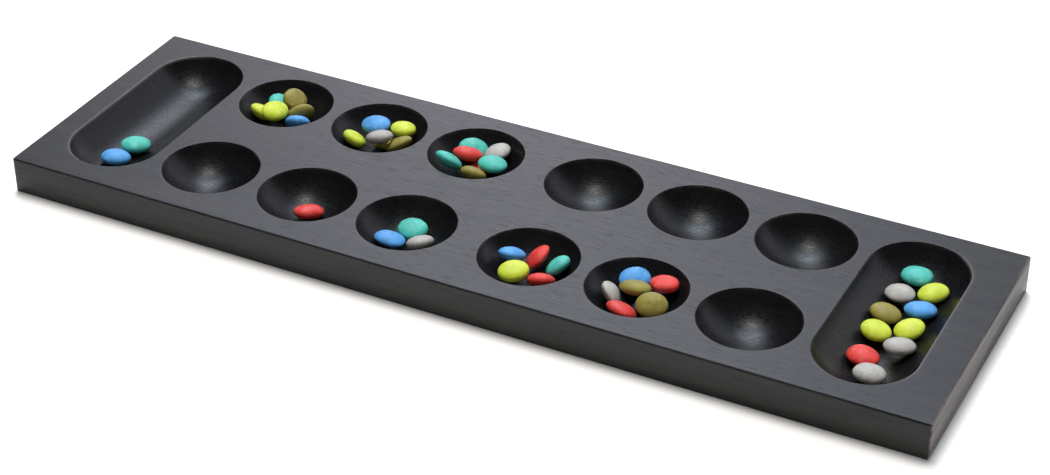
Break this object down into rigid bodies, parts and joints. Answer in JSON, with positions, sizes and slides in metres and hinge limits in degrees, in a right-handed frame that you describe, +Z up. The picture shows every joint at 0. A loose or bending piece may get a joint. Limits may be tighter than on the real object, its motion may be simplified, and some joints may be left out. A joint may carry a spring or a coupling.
{
  "type": "mancala board",
  "caption": "Long flat wooden game board with two rows of round pits and a long store at each end, holding loose coloured playing stones.",
  "frame": {"origin": "centre of the board's underside", "axes": "+X along the board towards its right-hand store, +Y across it from the front row to the back row, +Z up out of the pits"},
  "size_m": [0.5, 0.15, 0.0255],
  "materials": {
    "stained_wood": "black-stained hardwood under a satin lacquer, fine lengthwise grain, pink-brown end grain showing through at the worn ends",
    "lime_stone": "matt lime colour, slightly chalky, small pits and pale worn edges",
    "teal_stone": "matt teal colour, slightly chalky, small pits and pale worn edges",
    "blue_stone": "matt blue colour, slightly chalky, small pits and pale worn edges",
    "red_stone": "matt red colour, slightly chalky, small pits and pale worn edges",
    "olive_stone": "matt olive colour, slightly chalky, small pits and pale worn edges",
    "grey_stone": "matt grey colour, slightly chalky, small pits and pale worn edges"
  },
  "bodies": {
    "board": {"board": "stained_wood"},
    "stone_teal_1": {"stone_teal_1": "teal_stone"},
    "stone_lime_1": {"stone_lime_1": "lime_stone"},
    "stone_olive_1": {"stone_olive_1": "olive_stone"},
    "stone_olive_2": {"stone_olive_2": "olive_stone"},
    "stone_blue_1": {"stone_blue_1": "blue_stone"},
    "stone_lime_2": {"stone_lime_2": "lime_stone"},
    "stone_olive_3": {"stone_olive_3": "olive_stone"},
    "stone_olive_4": {"stone_olive_4": "olive_stone"},
    "stone_lime_3": {"stone_lime_3": "lime_stone"},
    "stone_lime_4": {"stone_lime_4": "lime_stone"},
    "stone_blue_2": {"stone_blue_2": "blue_stone"},
    "stone_grey_1": {"stone_grey_1": "grey_stone"},
    "stone_red_1": {"stone_red_1": "red_stone"},
    "stone_olive_5": {"stone_olive_5": "olive_stone"},
    "stone_teal_2": {"stone_teal_2": "teal_stone"},
    "stone_teal_3": {"stone_teal_3": "teal_stone"},
    "stone_red_2": {"stone_red_2": "red_stone"},
    "stone_grey_2": {"stone_grey_2": "grey_stone"},
    "stone_teal_4": {"stone_teal_4": "teal_stone"},
    "stone_red_3": {"stone_red_3": "red_stone"},
    "stone_teal_5": {"stone_teal_5": "teal_stone"},
    "stone_blue_3": {"stone_blue_3": "blue_stone"},
    "stone_grey_3": {"stone_grey_3": "grey_stone"},
    "stone_red_4": {"stone_red_4": "red_stone"},
    "stone_grey_4": {"stone_grey_4": "grey_stone"},
    "stone_red_5": {"stone_red_5": "red_stone"},
    "stone_teal_6": {"stone_teal_6": "teal_stone"},
    "stone_blue_4": {"stone_blue_4": "blue_stone"},
    "stone_lime_5": {"stone_lime_5": "lime_stone"},
    "stone_grey_5": {"stone_grey_5": "grey_stone"},
    "stone_blue_5": {"stone_blue_5": "blue_stone"},
    "stone_blue_6": {"stone_blue_6": "blue_stone"},
    "stone_olive_6": {"stone_olive_6": "olive_stone"},
    "stone_red_6": {"stone_red_6": "red_stone"},
    "stone_red_7": {"stone_red_7": "red_stone"},
    "stone_olive_7": {"stone_olive_7": "olive_stone"},
    "stone_teal_7": {"stone_teal_7": "teal_stone"},
    "stone_blue_7": {"stone_blue_7": "blue_stone"},
    "stone_teal_8": {"stone_teal_8": "teal_stone"},
    "stone_lime_6": {"stone_lime_6": "lime_stone"},
    "stone_grey_6": {"stone_grey_6": "grey_stone"},
    "stone_blue_8": {"stone_blue_8": "blue_stone"},
    "stone_olive_8": {"stone_olive_8": "olive_stone"},
    "stone_lime_7": {"stone_lime_7": "lime_stone"},
    "stone_lime_8": {"stone_lime_8": "lime_stone"},
    "stone_grey_7": {"stone_grey_7": "grey_stone"},
    "stone_red_8": {"stone_red_8": "red_stone"},
    "stone_grey_8": {"stone_grey_8": "grey_stone"}
  },
  "joints": [
    {"name": "stone_teal_1_lift", "type": "slide", "parent": "board", "child": "stone_teal_1", "axis": [0, 0, 1], "range_m": [0, 0.04]},
    {"name": "stone_lime_1_lift", "type": "slide", "parent": "stone_teal_1", "child": "stone_lime_1", "axis": [0, 0, 1], "range_m": [0, 0.04]},
    {"name": "stone_olive_1_lift", "type": "slide", "parent": "stone_lime_1", "child": "stone_olive_1", "axis": [0, 0, 1], "range_m": [0, 0.04]},
    {"name": "stone_olive_2_lift", "type": "slide", "parent": "stone_olive_1", "child": "stone_olive_2", "axis": [0, 0, 1], "range_m": [0, 0.04]},
    {"name": "stone_blue_1_lift", "type": "slide", "parent": "stone_olive_2", "child": "stone_blue_1", "axis": [0, 0, 1], "range_m": [0, 0.04]},
    {"name": "stone_lime_2_lift", "type": "slide", "parent": "stone_blue_1", "child": "stone_lime_2", "axis": [0, 0, 1], "range_m": [0, 0.04]},
    {"name": "stone_olive_3_lift", "type": "slide", "parent": "board", "child": "stone_olive_3", "axis": [0, 0, 1], "range_m": [0, 0.04]},
    {"name": "stone_olive_4_lift", "type": "slide", "parent": "stone_olive_3", "child": "stone_olive_4", "axis": [0, 0, 1], "range_m": [0, 0.04]},
    {"name": "stone_lime_3_lift", "type": "slide", "parent": "board", "child": "stone_lime_3", "axis": [0, 0, 1], "range_m": [0, 0.04]},
    {"name": "stone_lime_4_lift", "type": "slide", "parent": "stone_olive_4", "child": "stone_lime_4", "axis": [0, 0, 1], "range_m": [0, 0.04]},
    {"name": "stone_blue_2_lift", "type": "slide", "parent": "stone_lime_4", "child": "stone_blue_2", "axis": [0, 0, 1], "range_m": [0, 0.04]},
    {"name": "stone_grey_1_lift", "type": "slide", "parent": "stone_blue_2", "child": "stone_grey_1", "axis": [0, 0, 1], "range_m": [0, 0.04]},
    {"name": "stone_red_1_lift", "type": "slide", "parent": "board", "child": "stone_red_1", "axis": [0, 0, 1], "range_m": [0, 0.04]},
    {"name": "stone_olive_5_lift", "type": "slide", "parent": "stone_red_1", "child": "stone_olive_5", "axis": [0, 0, 1], "range_m": [0, 0.04]},
    {"name": "stone_teal_2_lift", "type": "slide", "parent": "stone_olive_5", "child": "stone_teal_2", "axis": [0, 0, 1], "range_m": [0, 0.04]},
    {"name": "stone_teal_3_lift", "type": "slide", "parent": "stone_teal_2", "child": "stone_teal_3", "axis": [0, 0, 1], "range_m": [0, 0.04]},
    {"name": "stone_red_2_lift", "type": "slide", "parent": "stone_teal_3", "child": "stone_red_2", "axis": [0, 0, 1], "range_m": [0, 0.04]},
    {"name": "stone_grey_2_lift", "type": "slide", "parent": "stone_red_2", "child": "stone_grey_2", "axis": [0, 0, 1], "range_m": [0, 0.04]},
    {"name": "stone_teal_4_lift", "type": "slide", "parent": "stone_grey_2", "child": "stone_teal_4", "axis": [0, 0, 1], "range_m": [0, 0.04]},
    {"name": "stone_red_3_lift", "type": "slide", "parent": "board", "child": "stone_red_3", "axis": [0, 0, 1], "range_m": [0, 0.04]},
    {"name": "stone_teal_5_lift", "type": "slide", "parent": "board", "child": "stone_teal_5", "axis": [0, 0, 1], "range_m": [0, 0.04]},
    {"name": "stone_blue_3_lift", "type": "slide", "parent": "board", "child": "stone_blue_3", "axis": [0, 0, 1], "range_m": [0, 0.04]},
    {"name": "stone_grey_3_lift", "type": "slide", "parent": "board", "child": "stone_grey_3", "axis": [0, 0, 1], "range_m": [0, 0.04]},
    {"name": "stone_red_4_lift", "type": "slide", "parent": "board", "child": "stone_red_4", "axis": [0, 0, 1], "range_m": [0, 0.04]},
    {"name": "stone_grey_4_lift", "type": "slide", "parent": "stone_red_4", "child": "stone_grey_4", "axis": [0, 0, 1], "range_m": [0, 0.04]},
    {"name": "stone_red_5_lift", "type": "slide", "parent": "stone_grey_4", "child": "stone_red_5", "axis": [0, 0, 1], "range_m": [0, 0.04]},
    {"name": "stone_teal_6_lift", "type": "slide", "parent": "board", "child": "stone_teal_6", "axis": [0, 0, 1], "range_m": [0, 0.04]},
    {"name": "stone_blue_4_lift", "type": "slide", "parent": "stone_red_5", "child": "stone_blue_4", "axis": [0, 0, 1], "range_m": [0, 0.04]},
    {"name": "stone_lime_5_lift", "type": "slide", "parent": "stone_blue_4", "child": "stone_lime_5", "axis": [0, 0, 1], "range_m": [0, 0.04]},
    {"name": "stone_grey_5_lift", "type": "slide", "parent": "board", "child": "stone_grey_5", "axis": [0, 0, 1], "range_m": [0, 0.04]},
    {"name": "stone_blue_5_lift", "type": "slide", "parent": "stone_grey_5", "child": "stone_blue_5", "axis": [0, 0, 1], "range_m": [0, 0.04]},
    {"name": "stone_blue_6_lift", "type": "slide", "parent": "stone_blue_5", "child": "stone_blue_6", "axis": [0, 0, 1], "range_m": [0, 0.04]},
    {"name": "stone_olive_6_lift", "type": "slide", "parent": "stone_blue_6", "child": "stone_olive_6", "axis": [0, 0, 1], "range_m": [0, 0.04]},
    {"name": "stone_red_6_lift", "type": "slide", "parent": "stone_olive_6", "child": "stone_red_6", "axis": [0, 0, 1], "range_m": [0, 0.04]},
    {"name": "stone_red_7_lift", "type": "slide", "parent": "stone_red_6", "child": "stone_red_7", "axis": [0, 0, 1], "range_m": [0, 0.04]},
    {"name": "stone_olive_7_lift", "type": "slide", "parent": "stone_red_7", "child": "stone_olive_7", "axis": [0, 0, 1], "range_m": [0, 0.04]},
    {"name": "stone_teal_7_lift", "type": "slide", "parent": "board", "child": "stone_teal_7", "axis": [0, 0, 1], "range_m": [0, 0.04]},
    {"name": "stone_blue_7_lift", "type": "slide", "parent": "board", "child": "stone_blue_7", "axis": [0, 0, 1], "range_m": [0, 0.04]},
    {"name": "stone_teal_8_lift", "type": "slide", "parent": "board", "child": "stone_teal_8", "axis": [0, 0, 1], "range_m": [0, 0.04]},
    {"name": "stone_lime_6_lift", "type": "slide", "parent": "board", "child": "stone_lime_6", "axis": [0, 0, 1], "range_m": [0, 0.04]},
    {"name": "stone_grey_6_lift", "type": "slide", "parent": "stone_lime_6", "child": "stone_grey_6", "axis": [0, 0, 1], "range_m": [0, 0.04]},
    {"name": "stone_blue_8_lift", "type": "slide", "parent": "board", "child": "stone_blue_8", "axis": [0, 0, 1], "range_m": [0, 0.04]},
    {"name": "stone_olive_8_lift", "type": "slide", "parent": "board", "child": "stone_olive_8", "axis": [0, 0, 1], "range_m": [0, 0.04]},
    {"name": "stone_lime_7_lift", "type": "slide", "parent": "board", "child": "stone_lime_7", "axis": [0, 0, 1], "range_m": [0, 0.04]},
    {"name": "stone_lime_8_lift", "type": "slide", "parent": "stone_lime_7", "child": "stone_lime_8", "axis": [0, 0, 1], "range_m": [0, 0.04]},
    {"name": "stone_grey_7_lift", "type": "slide", "parent": "board", "child": "stone_grey_7", "axis": [0, 0, 1], "range_m": [0, 0.04]},
    {"name": "stone_red_8_lift", "type": "slide", "parent": "board", "child": "stone_red_8", "axis": [0, 0, 1], "range_m": [0, 0.04]},
    {"name": "stone_grey_8_lift", "type": "slide", "parent": "stone_red_8", "child": "stone_grey_8", "axis": [0, 0, 1], "range_m": [0, 0.04]}
  ]
}
